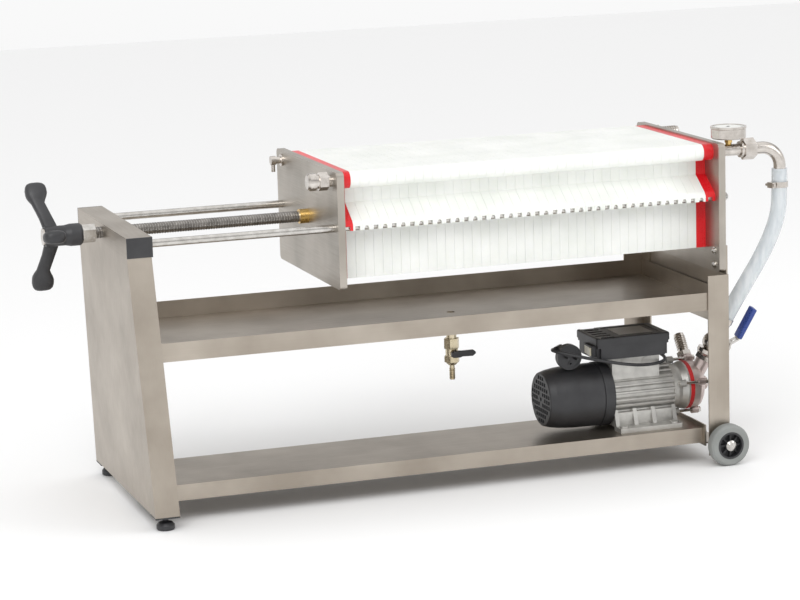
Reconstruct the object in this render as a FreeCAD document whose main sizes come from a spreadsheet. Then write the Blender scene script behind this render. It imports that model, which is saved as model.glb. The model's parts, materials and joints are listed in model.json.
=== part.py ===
import FreeCAD, Part
import Sketcher
import math
import os

from FreeCAD import Placement, Rotation, Vector

# Plate filter press on a wheeled stainless stand.
# +X runs from the closing handle to the pump end, -Y is the operator's side,
# +Z is up.  The origin is on the floor, under the middle of the machine.

doc = FreeCAD.newDocument("plate_filter_press")

# ---------------------------------------------------------------- sizes
# name: (millimetres, what it is)
SIZES = {
    # stations along the machine
    "face_x": (569, "inner face of the head plate"),
    "bar_gap": (1124, "head plate face to the crossbar's inner face"),
    # end plates
    "plate_half": (198, "half the width of the head and press plates"),
    "plate_thick": (14, "thickness of the head and press plates"),
    "plate_top": (629, "top of both plates"),
    "head_bottom": (377, "bottom of the head plate"),
    "press_bottom": (409, "bottom of the press plate"),
    "plate_corner": (9, "corner radius of both plates"),
    # filter pack
    "plate_count": (40, "white filter plates"),
    "cell_thick": (17.6, "thickness of a filter plate"),
    "sheet_thick": (1.6, "thickness of a filter sheet"),
    "sheet_proud": (0.3, "how far a sheet stands out of the recess that it lies in"),
    "sheet_margin": (4, "rim of a plate outside its filter sheet"),
    "frame_thick": (20, "thickness of a red end frame"),
    "cell_half": (135, "half the width of a plate's body"),
    "cell_bottom": (419, "bottom of the plates"),
    "cell_top": (626, "top of the plates"),
    "ear_high": (32, "height of the port ears"),
    "port_y": (159, "ports each side of the middle"),
    "port_bore": (9, "radius of the port through the ears"),
    "wing_reach": (181, "outer edge of the hanging wings"),
    "wing_thick": (5, "thickness of the wings"),
    "notch_wide": (9.5, "width of the notch in each wing"),
    "notch_high": (8, "height of the notch in each wing"),
    # rods and screw
    "rod_y": (168, "rods each side of the middle"),
    "rod_z": (522, "height of the rods and the screw"),
    "rod_radius": (7.5, "guide rod"),
    "screw_radius": (10, "closing screw"),
    "running_gap": (0.06, "radial clearance of shafts in their holes"),
    "seat_gap": (0.3, "gap between pieces that only rest together"),
    # crossbar
    "bar_wide": (48, "crossbar along X"),
    "bar_high": (37, "crossbar along Z"),
    "bar_top": (540, "top of the crossbar"),
    "bar_half": (202, "half the length of the crossbar's tube"),
    "bar_wall": (2.5, "wall of the crossbar"),
    "cap_deep": (5, "end cap outside the tube"),
    # left frame
    "leg_wide": (46, "leg along X"),
    "leg_deep": (42, "leg along Y"),
    "leg_wall": (2, "wall of the legs"),
    "leg_rake": (21, "how far the legs lean inwards along X"),
    "leg_splay": (43, "how far each leg spreads along Y"),
    "leg_bottom": (27, "underside of the legs"),
    "panel_thick": (2, "sheet of the left panel"),
    "foot_radius": (17, "levelling foot"),
    # right frame
    "post_half": (208.5, "outer faces of the right posts"),
    "post_wide": (43.5, "post along X"),
    "post_flange": (42, "post along Y"),
    "post_thick": (3, "sheet of the posts"),
    "post_top": (375, "top of the posts"),
    "post_bottom": (18, "bottom of the posts"),
    "panel_top": (430, "top of the end panel"),
    "panel_bottom": (300, "bottom of the end panel"),
    # tray
    "tray_bottom": (307, "underside of the drip tray"),
    "tray_high": (35, "height of the tray"),
    "tray_sheet": (2, "sheet of the tray"),
    "drain_x": (84, "drain along X"),
    "drain_bore": (8, "radius of the drain hole"),
    # shelf
    "shelf_top": (72, "top of the bottom shelf"),
    "shelf_near": (-193, "near edge of the shelf"),
    "shelf_wide": (201, "shelf along Y"),
    "shelf_lip": (30, "depth of the shelf's folded edges"),
    "shelf_sheet": (2, "sheet of the shelf"),
    "rail_high": (42, "height of the cross rail between the posts"),
    # wheels
    "wheel_radius": (41, "wheel"),
    "wheel_wide": (24, "width of the tyre"),
    "wheel_clear": (5, "wheel to post"),
    "hub_radius": (27, "rim that the tyre sits on"),
    "axle_radius": (4.5, "wheel bolt"),
    "wheel_back": (10.5, "wheel centre back from the posts' outer face"),
    # pump
    "pump_y": (-93, "pump shaft"),
    "shaft_high": (66, "pump shaft above the shelf"),
    "cowl_x": (233, "grille face of the fan cowl"),
    "cowl_long": (133, "length of the cowl"),
    "cowl_radius": (62, "cowl at its open end"),
    "cowl_face": (54, "cowl at the grille"),
    "cowl_wall": (2.5, "wall of the cowl"),
    "slot_pitch": (10.6, "grille slots, both ways"),
    "slot_bar": (3.2, "bar between two grille slots"),
    "motor_long": (137, "length of the finned housing"),
    "motor_radius": (43, "housing between the fins"),
    "fin_high": (7, "height of the fins"),
    "fin_thick": (5.4, "thickness of the fins at their root"),
    "fin_count": (22, "cooling fins round the housing"),
    "pad_long": (100, "terminal pad on the housing, along X"),
    "pad_wide": (76, "terminal pad on the housing, along Y"),
    "knockout_radius": (9, "blind cable knock-outs in the pad's side"),
    "lug_circle": (51.5, "tie bolts from the pump shaft"),
    "tie_radius": (3, "tie bolts of the pump"),
    "tie_lean": (16, "degrees from the horizontal to the first tie bolt"),
    "foot_half": (80, "half the width of the motor's foot"),
    "foot_long": (130, "length of the motor's foot"),
    "box_long": (155, "junction box along X"),
    "box_wide": (108, "junction box along Y"),
    "box_high": (44, "junction box with its lid"),
    "box_x": (331, "left end of the junction box"),
    "box_bottom": (215, "underside of the junction box"),
    "lid_high": (15, "lid of the junction box"),
    "vent_long": (31, "vent ribs on the lid"),
    "vent_pitch": (20, "from one vent rib to the next"),
    "plug_x": (284, "middle of the mains plug"),
    "plug_face": (-122, "face of the plug that the pins stand on"),
    "plug_radius": (25, "disc of the plug"),
    "cord_radius": (3.2, "power cord"),
    # pipework
    "pipe_radius": (11.5, "inlet pipe"),
    "elbow_radius": (38, "bend of the inlet elbow"),
    "hose_radius": (15.5, "clear hose"),
    "gauge_x": (25, "gauge from the head plate"),
    "gauge_radius": (34, "pressure gauge"),
    "gauge_high": (24, "depth of the gauge"),
}

sheet = doc.addObject("Spreadsheet::Sheet", "Sizes")
for row, (name, (value, meaning)) in enumerate(SIZES.items(), start=1):
    sheet.set(f"A{row}", str(value))
    sheet.set(f"B{row}", meaning)
    sheet.setAlias(f"A{row}", name)
doc.recompute()


class Size:
    """A length that carries its value and the sheet expression it comes from."""

    def __init__(self, value, text):
        self.value = value
        self.text = text

    def _mix(self, other, sign, result):
        return Size(result, f"({self.text} {sign} {size_of(other).text})")

    def __add__(self, other):
        return self._mix(other, "+", self.value + size_of(other).value)

    def __sub__(self, other):
        return self._mix(other, "-", self.value - size_of(other).value)

    def __mul__(self, other):
        return self._mix(other, "*", self.value * size_of(other).value)

    def __truediv__(self, other):
        return self._mix(other, "/", self.value / size_of(other).value)

    def __radd__(self, other):
        return size_of(other) + self

    def __rsub__(self, other):
        return size_of(other) - self

    def __rmul__(self, other):
        return size_of(other) * self

    def __neg__(self):
        return Size(-self.value, f"(0 - {self.text})")

    def __float__(self):
        return float(self.value)


def size_of(number):
    return number if isinstance(number, Size) else Size(float(number), repr(float(number)))


class Sheet:
    """Reads a named cell of the sheet as a Size."""

    def __getattr__(self, name):
        return Size(float(getattr(sheet, name)), f"Sizes.{name}")


S = Sheet()
PARTS = []


# ---------------------------------------------------------------- helpers
def bind(obj, prop, size):
    obj.setExpression(prop, size_of(size).text)


def place(obj, x=0, y=0, z=0, turn=None):
    obj.Placement = Placement(Vector(float(x), float(y), float(z)), turn or Rotation())
    for axis, size in zip("xyz", (x, y, z)):
        bind(obj, f"Placement.Base.{axis}", size)


def box(name, x, y, z, long, wide, high):
    obj = doc.addObject("Part::Box", name)
    for prop, size in (("Length", long), ("Width", wide), ("Height", high)):
        bind(obj, prop, size)
    place(obj, x, y, z)
    return obj


TURNS = {
    "X": Rotation(Vector(0, 1, 0), 90),
    "-X": Rotation(Vector(0, 1, 0), -90),
    "Y": Rotation(Vector(1, 0, 0), -90),
    "-Y": Rotation(Vector(1, 0, 0), 90),
    "Z": Rotation(),
    "-Z": Rotation(Vector(1, 0, 0), 180),
}


def cylinder(name, radius, long, x, y, z, axis="Z"):
    obj = doc.addObject("Part::Cylinder", name)
    bind(obj, "Radius", radius)
    bind(obj, "Height", long)
    place(obj, x, y, z, TURNS[axis] if isinstance(axis, str) else axis)
    return obj


def cone(name, radius_1, radius_2, long, x, y, z, axis="Z"):
    obj = doc.addObject("Part::Cone", name)
    bind(obj, "Radius1", radius_1)
    bind(obj, "Radius2", radius_2)
    bind(obj, "Height", long)
    place(obj, x, y, z, TURNS[axis] if isinstance(axis, str) else axis)
    return obj


def hexagon(name, across, long, x, y, z, axis="Z"):
    """A hexagonal prism, its size given across the flats."""
    obj = doc.addObject("Part::Prism", name)
    obj.Polygon = 6
    bind(obj, "Circumradius", size_of(across) / (2 * math.cos(math.pi / 6)))
    bind(obj, "Height", long)
    place(obj, x, y, z, TURNS[axis] if isinstance(axis, str) else axis)
    return obj


def fuse(name, *pieces):
    obj = doc.addObject("Part::MultiFuse", name)
    obj.Shapes = list(pieces)
    return obj


def cut(name, base, *tools):
    obj = doc.addObject("Part::Cut", name)
    obj.Base = base
    obj.Tool = tools[0] if len(tools) == 1 else fuse(f"{name}_tools", *tools)
    return obj


def group(name, *pieces):
    """Like pieces that don't touch, kept as one node."""
    obj = doc.addObject("Part::Compound", name)
    obj.Links = list(pieces)
    return obj


def feature(name, shape, x=0, y=0, z=0):
    """A shape made with Part's own functions, then placed."""
    obj = doc.addObject("Part::Feature", name)
    obj.Shape = shape
    place(obj, x, y, z)
    return obj


def node(obj, name):
    obj.Label = name
    PARTS.append(obj)
    return obj


def new_body(name):
    return doc.addObject("PartDesign::Body", f"{name}_body")


def sketch_on(body, role, loops, offset=0, circles=()):
    """A sketch of closed loops of corners and of circles (x, y, radius)."""
    sketch = body.newObject("Sketcher::SketchObject", f"{body.Name}_{role[:2]}")
    plane = [item for item in body.Origin.OriginFeatures if item.Role == role][0]
    sketch.AttachmentSupport = [(plane, "")]
    sketch.MapMode = "FlatFace"
    bind(sketch, "AttachmentOffset.Base.z", offset)
    for loop in loops:
        first = sketch.GeometryCount
        for here, there in zip(loop, loop[1:] + loop[:1]):
            start = Vector(float(here[0]), float(here[1]), 0)
            end = Vector(float(there[0]), float(there[1]), 0)
            sketch.addGeometry(Part.LineSegment(start, end), False)
        for i, corner in enumerate(loop):
            after = first + (i + 1) % len(loop)
            sketch.addConstraint(Sketcher.Constraint("Coincident", first + i, 2, after, 1))
            pin_point(sketch, first + i, 1, corner)
    for x, y, radius in circles:
        circle = Part.Circle(Vector(float(x), float(y), 0), Vector(0, 0, 1), float(radius))
        index = sketch.addGeometry(circle, False)
        pin_point(sketch, index, 3, (x, y))
        limit = sketch.addConstraint(Sketcher.Constraint("Radius", index, float(radius)))
        bind(sketch, f"Constraints[{limit}]", radius)
    return sketch


def pin_point(sketch, index, spot, point):
    """Fix one point of a sketch at its two coordinates."""
    for kind, size in zip(("DistanceX", "DistanceY"), point):
        rule = Sketcher.Constraint(kind, -1, 1, index, spot, float(size))
        limit = sketch.addConstraint(rule)
        bind(sketch, f"Constraints[{limit}]", size)


def pad(body, sketch, long, reverse=False):
    obj = body.newObject("PartDesign::Pad", f"{sketch.Name}_pad")
    obj.Profile = sketch
    obj.Reversed = reverse
    bind(obj, "Length", long)
    return obj


def pocket(body, sketch, deep, reverse=False):
    obj = body.newObject("PartDesign::Pocket", f"{sketch.Name}_pocket")
    obj.Profile = sketch
    obj.Reversed = reverse
    bind(obj, "Length", deep)
    return obj


def spin(body, sketch, axis="H_Axis", groove=False):
    """A full turn of a profile about one of its sketch axes."""
    kind = "PartDesign::Groove" if groove else "PartDesign::Revolution"
    obj = body.newObject(kind, f"{sketch.Name}_turn")
    obj.Profile = sketch
    obj.ReferenceAxis = (sketch, [axis])
    obj.Angle = 360
    return obj


def loft(body, first, second, subtract=False):
    kind = "PartDesign::SubtractiveLoft" if subtract else "PartDesign::AdditiveLoft"
    obj = body.newObject(kind, f"{first.Name}_loft")
    obj.Profile = first
    obj.Sections = [second]
    obj.Ruled = True
    return obj


def around(body, feature_list, count, sketch, axis="H_Axis"):
    """Repeat features round a sketch axis."""
    obj = body.newObject("PartDesign::PolarPattern", f"{feature_list[0].Name}_ring")
    obj.Originals = feature_list
    obj.Axis = (sketch, [axis])
    obj.Angle = 360
    obj.Occurrences = count
    body.Tip = obj
    return obj


def round_edges(body, radius, chosen):
    """Fillet the edges of the body's tip that the test picks."""
    doc.recompute()
    tip = body.Tip
    names = [f"Edge{i}" for i, edge in enumerate(tip.Shape.Edges, 1) if chosen(edge)]
    obj = body.newObject("PartDesign::Fillet", f"{tip.Name}_round")
    obj.Base = (tip, names)
    bind(obj, "Radius", radius)
    return obj


def runs_along(edge, axis):
    """True for a straight edge parallel to an axis."""
    if not isinstance(edge.Curve, Part.Line):
        return False
    return abs(abs(edge.tangentAt(edge.FirstParameter).dot(axis)) - 1) < 1e-6


AXIS_X = Vector(1, 0, 0)
AXIS_Y = Vector(0, 1, 0)
AXIS_Z = Vector(0, 0, 1)


def rectangle(x0, y0, x1, y1):
    return [(x0, y0), (x1, y0), (x1, y1), (x0, y1)]


# ---------------------------------------------------------------- stations
cell_step = S.cell_thick + S.sheet_proud
pack_long = S.frame_thick * 2 + S.plate_count * cell_step + S.sheet_proud
pack_x = S.face_x - pack_long            # inner face of the press plate
press_x = pack_x - S.plate_thick         # outer face of the press plate
head_out = S.face_x + S.plate_thick      # outer face of the head plate
bar_in = S.face_x - S.bar_gap            # crossbar, inner face
bar_x = bar_in - S.bar_wide              # crossbar, outer face
bar_bottom = S.bar_top - S.bar_high
port_z = S.cell_top - S.ear_high / 2
pump_z = S.shelf_top + S.shaft_high


# ---------------------------------------------------------------- left frame
def make_crossbar():
    """Square tube with a welded bush that carries the screw."""
    outer = box("bar_outer", bar_x, -S.bar_half, bar_bottom, S.bar_wide, S.bar_half * 2, S.bar_high)
    inner = box("bar_inner", bar_x + S.bar_wall, -S.bar_half - 1, bar_bottom + S.bar_wall,
                S.bar_wide - S.bar_wall * 2, S.bar_half * 2 + 2, S.bar_high - S.bar_wall * 2)
    bush = cylinder("bar_bush", S.screw_radius + 5, S.bar_wide, bar_x, 0, S.rod_z, "X")
    bore = cylinder("bar_bore", S.screw_radius + S.running_gap, S.bar_wide + 4,
                    bar_x - 2, 0, S.rod_z, "X")
    tube = cut("bar_tube", outer, inner)
    node(cut("crossbar", fuse("bar_welded", tube, bush), bore), "crossbar")


def make_crossbar_caps():
    """Push-in caps whose faces rise to a low pyramid."""
    caps = []
    plug_deep = 12
    for side in (-1, 1):
        body = new_body("cap_near" if side < 0 else "cap_far")
        face = S.bar_half * side
        rim = sketch_on(body, "XZ_Plane", [rectangle(bar_x, bar_bottom, bar_in, S.bar_top)], -face)
        pad(body, rim, 3, reverse=side > 0)
        low = sketch_on(body, "XZ_Plane", [rectangle(bar_x, bar_bottom, bar_in, S.bar_top)],
                        -face - 3 * side)
        high = sketch_on(body, "XZ_Plane", [rectangle(bar_x + 18, bar_bottom + 14,
                                                      bar_in - 18, S.bar_top - 14)],
                         -face - S.cap_deep * side)
        loft(body, low, high)
        wall = S.bar_wall + 0.1
        plug = sketch_on(body, "XZ_Plane", [rectangle(bar_x + wall, bar_bottom + wall,
                                                      bar_in - wall, S.bar_top - wall)], -face)
        pad(body, plug, plug_deep, reverse=side < 0)
        caps.append(body)
    node(group("crossbar_caps", *caps), "crossbar_caps")


def leg_section(side, inset, height):
    """Corners of a leg's section, with how far down the leg it is (0 top, 1 bottom)."""
    down = 1 if height == "bottom" else 0
    x0 = bar_x + S.leg_rake * down + inset
    x1 = bar_x + S.leg_rake * down + S.leg_wide - inset
    out = S.bar_half + S.leg_splay * down - inset
    back = S.bar_half + S.leg_splay * down - S.leg_deep + inset
    near, far = (-out, -back) if side < 0 else (back, out)
    return rectangle(x0, near, x1, far)


def make_leg(side, name):
    """Raked and splayed square tube, drawn from its two end sections."""
    body = new_body(name)
    sections = []
    for inset in (0, S.leg_wall):
        low = sketch_on(body, "XY_Plane", [leg_section(side, inset, "bottom")], S.leg_bottom)
        high = sketch_on(body, "XY_Plane", [leg_section(side, inset, "top")], bar_bottom)
        sections.append((low, high))
    loft(body, *sections[0])
    loft(body, *sections[1], subtract=True)
    return node(body, name)


def make_left_panel():
    """Sheet that closes the A-shaped end, flush with the legs' outer faces."""
    body = new_body("left_panel")
    sketches = []
    for down, z in ((1, S.leg_bottom), (0, bar_bottom)):
        x0 = bar_x + S.leg_rake * down
        reach = S.bar_half + S.leg_splay * down - S.leg_deep - S.seat_gap / 3
        corners = rectangle(x0, -reach, x0 + S.panel_thick, reach)
        sketches.append(sketch_on(body, "XY_Plane", [corners], z))
    loft(body, *sketches)
    node(body, "left_panel")


def make_levelling_feet():
    """Round pad on a stud that screws into a plug in the leg's end."""
    feet = []
    stud_radius = 5
    for side in (-1, 1):
        body = new_body(f"foot_{'near' if side < 0 else 'far'}")
        profile = [
            (0, 0), (S.foot_radius - 2, 0), (S.foot_radius, 2), (S.foot_radius, 9),
            (S.foot_radius - 4, 14), (stud_radius + 2, 16), (stud_radius, 18),
            (stud_radius, S.leg_bottom + 14), (0, S.leg_bottom + 14),
        ]
        outline = sketch_on(body, "XZ_Plane", [profile])
        spin(body, outline, "V_Axis")
        plate = sketch_on(body, "XY_Plane",
                          [rectangle(-S.leg_wide / 2, -S.leg_deep / 2, S.leg_wide / 2, S.leg_deep / 2)],
                          S.leg_bottom - 3)
        pad(body, plate, 3)
        place(body, bar_x + S.leg_rake + S.leg_wide / 2,
              (S.bar_half + S.leg_splay - S.leg_deep / 2) * side, 0)
        feet.append(body)
    node(group("levelling_feet", *feet), "levelling_feet")


# ---------------------------------------------------------------- right frame
post_in = head_out - S.post_wide
wheel_x = head_out - S.wheel_back


def make_post(side, name):
    """Angle post: a broad outer web and a flange behind the head plate."""
    web_y = -S.post_half if side < 0 else S.post_half - S.post_thick
    flange_y = -S.post_half if side < 0 else S.post_half - S.post_flange
    high = S.post_top - S.post_bottom
    web = box(f"{name}_web", post_in, web_y, S.post_bottom, S.post_wide, S.post_thick, high)
    flange = box(f"{name}_flange", head_out - S.post_thick, flange_y, S.post_bottom,
                 S.post_thick, S.post_flange, high)
    hole = cylinder(f"{name}_hole", S.axle_radius + S.running_gap, S.post_thick + 4,
                    wheel_x, web_y - 2, S.wheel_radius, "Y")
    return node(cut(name, fuse(f"{name}_angle", web, flange), hole), name)


def make_end_panel():
    """Sheet across the posts that the head plate is bolted to."""
    panel = box("end_panel", head_out, -S.plate_half, S.panel_bottom,
                S.post_thick, S.plate_half * 2, S.panel_top - S.panel_bottom)
    node(panel, "end_panel")


def rail_between(name, x, z, high, foot, relief=0):
    """Folded angle from post to post, its flat leg cut back where the wheel bolts are."""
    reach = S.post_half - S.post_thick - S.seat_gap
    upright = box(f"{name}_upright", x, -reach, z, S.post_thick, reach * 2, high)
    flat_z = z if foot == "low" else z + high - S.post_thick
    flat = box(f"{name}_flat", x, relief - reach, flat_z,
               head_out - S.post_thick - S.seat_gap - x, (reach - relief) * 2, S.post_thick)
    return node(fuse(f"{name}_angle", upright, flat), name)


# ---------------------------------------------------------------- tray and shelf
tray_half = S.post_half - S.post_thick - S.seat_gap
tray_end = head_out - S.post_thick - S.seat_gap


def leg_inner_x(z):
    """Inner face of the raked legs at a height."""
    down = (bar_bottom - z) / (bar_bottom - S.leg_bottom)
    return bar_x + S.leg_rake * down + S.leg_wide


def make_tray():
    """Folded drip tray with a drain hole."""
    start = leg_inner_x(S.tray_bottom) + S.seat_gap
    outer = box("tray_outer", start, -tray_half, S.tray_bottom,
                tray_end - start, tray_half * 2, S.tray_high)
    inner = box("tray_inner", start + S.tray_sheet, -tray_half + S.tray_sheet,
                S.tray_bottom + S.tray_sheet, tray_end - start - S.tray_sheet * 2,
                (tray_half - S.tray_sheet) * 2, S.tray_high)
    hole = cylinder("tray_hole", S.drain_bore, S.tray_sheet + 4, S.drain_x, 0, S.tray_bottom - 2)
    node(cut("drip_tray", outer, inner, hole), "drip_tray")


rail_x = post_in - 8
bolt_inside = 14             # wheel bolt's end inside the post


def make_shelf():
    """Shelf folded down along both long edges, with a small return below."""
    down = (bar_bottom - S.shelf_top + S.shelf_lip) / (bar_bottom - S.leg_bottom)
    start = bar_x + S.leg_rake * down + S.panel_thick + S.seat_gap
    end = rail_x - S.seat_gap
    body = new_body("bottom_shelf")
    near = S.shelf_near
    far = S.shelf_near + S.shelf_wide
    top = S.shelf_top
    low = S.shelf_top - S.shelf_lip
    fold = S.shelf_sheet
    back = 12
    profile = [
        (near, top), (near, low), (near + back, low), (near + back, low + fold),
        (near + fold, low + fold), (near + fold, top - fold),
        (far - fold, top - fold), (far - fold, low + fold),
        (far - back, low + fold), (far - back, low), (far, low), (far, top),
    ]
    outline = sketch_on(body, "YZ_Plane", [profile], start)
    pad(body, outline, end - start)
    node(body, "bottom_shelf")


# ---------------------------------------------------------------- rods, plates and screw
def make_rods():
    """Guide rods with a domed nut outside the head plate."""
    rods = []
    for side in (-1, 1):
        body = new_body(f"rod_{'near' if side < 0 else 'far'}")
        r = S.rod_radius
        tip = head_out
        profile = [
            (bar_in, 0), (bar_in, r), (S.face_x, r), (S.face_x, r - 1), (tip, r - 1),
            (tip, r + 4), (tip + 9, r + 4), (tip + 15, r), (tip + 18, r / 2), (tip + 19, 0),
        ]
        outline = sketch_on(body, "XZ_Plane", [profile])
        spin(body, outline, "H_Axis")
        place(body, 0, S.rod_y * side, S.rod_z)
        rods.append(body)
    node(group("guide_rods", *rods), "guide_rods")


def end_plate(name, x, bottom, rod_hole):
    """Thick plate with rounded corners, rod holes and the two ports."""
    body = new_body(name)
    face = rectangle(-S.plate_half, bottom, S.plate_half, S.plate_top)
    holes = [(S.rod_y * side, S.rod_z, rod_hole) for side in (-1, 1)]
    holes += [(S.port_y * side, port_z, S.port_bore) for side in (-1, 1)]
    outline = sketch_on(body, "YZ_Plane", [face], x, holes)
    pad(body, outline, S.plate_thick)
    corner = lambda edge: runs_along(edge, AXIS_X)
    round_edges(body, S.plate_corner, corner)
    return node(body, name)


def wing_profile(side):
    """Sloping wing that hangs on the rod, from its upper root to its lower root."""
    out = S.wing_reach
    in_y = S.wing_reach - S.wing_thick
    rod_top = S.rod_z + S.rod_radius
    points = [
        (S.cell_half, rod_top + 34), (out - 5, rod_top + 5), (out, rod_top - 2),
        (out, rod_top - 13), (in_y, rod_top - 13), (in_y, rod_top - 2.8),
        (S.cell_half, rod_top + 19),
    ]
    return [(y * side, z) for y, z in points]


def cell_outline():
    """Body, port ears and hanging wings of a plate, anticlockwise."""
    low = S.cell_bottom
    ear = S.cell_top - S.ear_high
    end = S.port_y + S.ear_high / 2
    right = wing_profile(1)[::-1]
    left = wing_profile(-1)
    return (
        [(-S.cell_half, low), (S.cell_half, low)] + right
        + [(S.cell_half, ear), (end, ear), (end, S.cell_top), (-end, S.cell_top), (-end, ear),
           (-S.cell_half, ear)]
        + left
    )


def make_cell(name, thick, arch, recess=True):
    """One plate at x = 0: outline, ports, round ears, notched wings and the filter sheet's recess."""
    body = new_body(name)
    ports = [(S.port_y * side, port_z, S.port_bore) for side in (-1, 1)]
    outline = sketch_on(body, "YZ_Plane", [cell_outline()], 0, ports)
    pad(body, outline, thick)
    end = float(S.port_y + S.ear_high / 2)

    def ear_corner(edge):
        return runs_along(edge, AXIS_X) and abs(abs(edge.CenterOfMass.y) - end) < 0.01

    round_edges(body, S.ear_high / 2 - 1, ear_corner)
    low = S.rod_z + S.rod_radius - 14
    mid = thick / 2
    high = low + 1 + S.notch_high
    half = S.notch_wide / 2
    if arch:
        notch = [(mid - half, low), (mid + half, low), (mid + half, high - half),
                 (mid + half / 2, high), (mid - half / 2, high), (mid - half, high - half)]
    else:
        notch = rectangle(mid - half, low, mid + half, high)
    for side in (-1, 1):
        cutter = sketch_on(body, "XZ_Plane", [notch], -(S.wing_reach + 1) * side)
        pocket(body, cutter, S.wing_thick + 2, reverse=side > 0)
    if recess:
        margin = S.sheet_margin
        face = rectangle(margin - S.cell_half, S.cell_bottom + margin,
                         S.cell_half - margin, S.cell_top - margin)
        bed = sketch_on(body, "YZ_Plane", [face])
        pocket(body, bed, S.sheet_thick - S.sheet_proud, reverse=True)
    return body


def copies(name, source, places):
    """Copies of one body along X."""
    found = []
    for i, x in enumerate(places):
        link = doc.addObject("Part::Compound", f"{name}_{i}")
        link.Links = [source]
        place(link, x)
        found.append(link)
    return found


def make_pack():
    """Forty white plates with a filter sheet in every recess, between red end frames."""
    square = make_cell("square_cell", S.cell_thick, False)
    arched = make_cell("arched_cell", S.cell_thick, True)
    start = pack_x + S.frame_thick + S.sheet_proud
    count = int(float(S.plate_count))
    half = count // 2
    for label, numbers in (("filter_plates_press_half", range(half)),
                           ("filter_plates_head_half", range(half, count))):
        pieces = []
        for kind, body in ((0, square), (1, arched)):
            places = [start + cell_step * i for i in numbers if i % 2 == kind]
            pieces += copies(f"{label}_{kind}", body, places)
        node(group(label, *pieces), label)
    inset = S.sheet_margin + 0.5
    sheets = []
    for i in range(count + 1):
        x = pack_x + S.frame_thick + cell_step * i
        sheets.append(box(f"sheet_{i}", x, inset - S.cell_half, S.cell_bottom + inset,
                          S.sheet_thick, (S.cell_half - inset) * 2,
                          S.cell_top - S.cell_bottom - inset * 2))
    node(group("filter_sheets", *sheets), "filter_sheets")
    press_frame = make_cell("press_end_frame", S.frame_thick, False, recess=False)
    place(press_frame, pack_x)
    node(press_frame, "press_end_frame")
    head_frame = make_cell("head_end_frame", S.frame_thick, False)
    place(head_frame, S.face_x - S.frame_thick)
    node(head_frame, "head_end_frame")


bush_long = 17


def make_press_fittings():
    """Brass thrust bush, and the plug and sampling tap on the two ports."""
    outer = cylinder("bush_outer", 14, bush_long, press_x - bush_long, 0, S.rod_z, "X")
    bore = cylinder("bush_bore", S.screw_radius + S.running_gap, bush_long + 2,
                    press_x - bush_long - 1, 0, S.rod_z, "X")
    node(cut("press_bush", outer, bore), "press_bush")
    plug_y = -S.port_y
    plug = fuse(
        "port_plug",
        cylinder("plug_neck", 11, 7, press_x, plug_y, port_z, "-X"),
        hexagon("plug_hex", 30, 17, press_x - 7, plug_y, port_z, "-X"),
        cylinder("plug_collar", 13, 6, press_x - 24, plug_y, port_z, "-X"),
        cylinder("plug_cap", 16.5, 12, press_x - 30, plug_y, port_z, "-X"),
        cone("plug_nose", 16.5, 13, 4, press_x - 42, plug_y, port_z, "-X"),
    )
    tap = fuse(
        "port_tap",
        cylinder("tap_flange", 12, 4, press_x, S.port_y, port_z, "-X"),
        cylinder("tap_neck", 7, 14, press_x, S.port_y, port_z, "-X"),
        cylinder("tap_body", 9, 10, press_x - 14, S.port_y, port_z, "-X"),
        cylinder("tap_spout", 4, 22, press_x - 19, S.port_y, port_z, "-Z"),
    )
    node(group("port_fittings", plug, tap), "port_fittings")


handle_x = bar_x - 90        # hub's inner end


def make_screw():
    """Closing screw with its hexagonal collar by the handle."""
    end = press_x - S.seat_gap
    start = handle_x - 18
    shaft = cylinder("screw_shaft", S.screw_radius, end - start, start, 0, S.rod_z, "X")
    collar = hexagon("screw_collar", 30, 24, handle_x + 53, 0, S.rod_z, "X")
    node(fuse("screw", shaft, collar), "screw")


def rounded(x0, x1, half):
    """Corners of a section with its four corners taken off in two steps."""
    c = half * 0.55
    corner = [(c, 0), (c * 0.3, c * 0.3), (0, c)]
    loop = [(x0 + a, -half + b) for a, b in reversed(corner)]
    loop += [(x1 - a, -half + b) for a, b in corner]
    loop += [(x1 - a, half - b) for a, b in reversed(corner)]
    loop += [(x0 + a, half - b) for a, b in corner]
    return loop


def make_handle():
    """Hub and three cranked arms, each ending in a rounded grip."""
    hub = new_body("handle_hub")
    bore = S.screw_radius + S.running_gap
    profile = [(-19, bore), (-19, 17), (-17, 19), (20, 19), (30, 21), (48, 21), (52, 18), (52, bore)]
    outline = sketch_on(hub, "XZ_Plane", [profile])
    spin(hub, outline, "H_Axis")
    place(hub, handle_x + S.seat_gap, 0, S.rod_z)
    arm = new_body("handle_arm")
    # height along the arm, then the section's two ends along X and its half width
    sections = [(13, -17, 10, 9), (40, -22, 3, 7.5), (72, -31, -6, 7.5), (82, -37, -1, 10.5),
                (90, -39, 2, 12.5), (103, -39, 2, 12.5), (110, -36, -1, 11), (113, -31, -6, 7)]
    rings = [sketch_on(arm, "XY_Plane", [rounded(x0, x1, half)], height)
             for height, x0, x1, half in sections]
    body_loft = arm.newObject("PartDesign::AdditiveLoft", "handle_arm_loft")
    body_loft.Profile = rings[0]
    body_loft.Sections = rings[1:]
    body_loft.Ruled = True
    arms = []
    for i, angle in enumerate((ARM_LEAN, ARM_LEAN + 120, ARM_LEAN + 240)):
        link = doc.addObject("Part::Compound", f"arm_{i}")
        link.Links = [arm]
        place(link, handle_x + S.seat_gap, 0, S.rod_z, Rotation(AXIS_X, angle))
        arms.append(link)
    joined = cut("handle", fuse("handle_joined", hub, *arms),
                 cylinder("handle_bore", bore, 80, handle_x - 22, 0, S.rod_z, "X"))
    node(joined, "handle")
    cap = cylinder("handle_disc", 16, 3, handle_x - 19 + S.seat_gap, 0, S.rod_z, "-X")
    node(cap, "handle_cap")


ARM_LEAN = -38               # degrees from upright to the first arm


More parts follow.
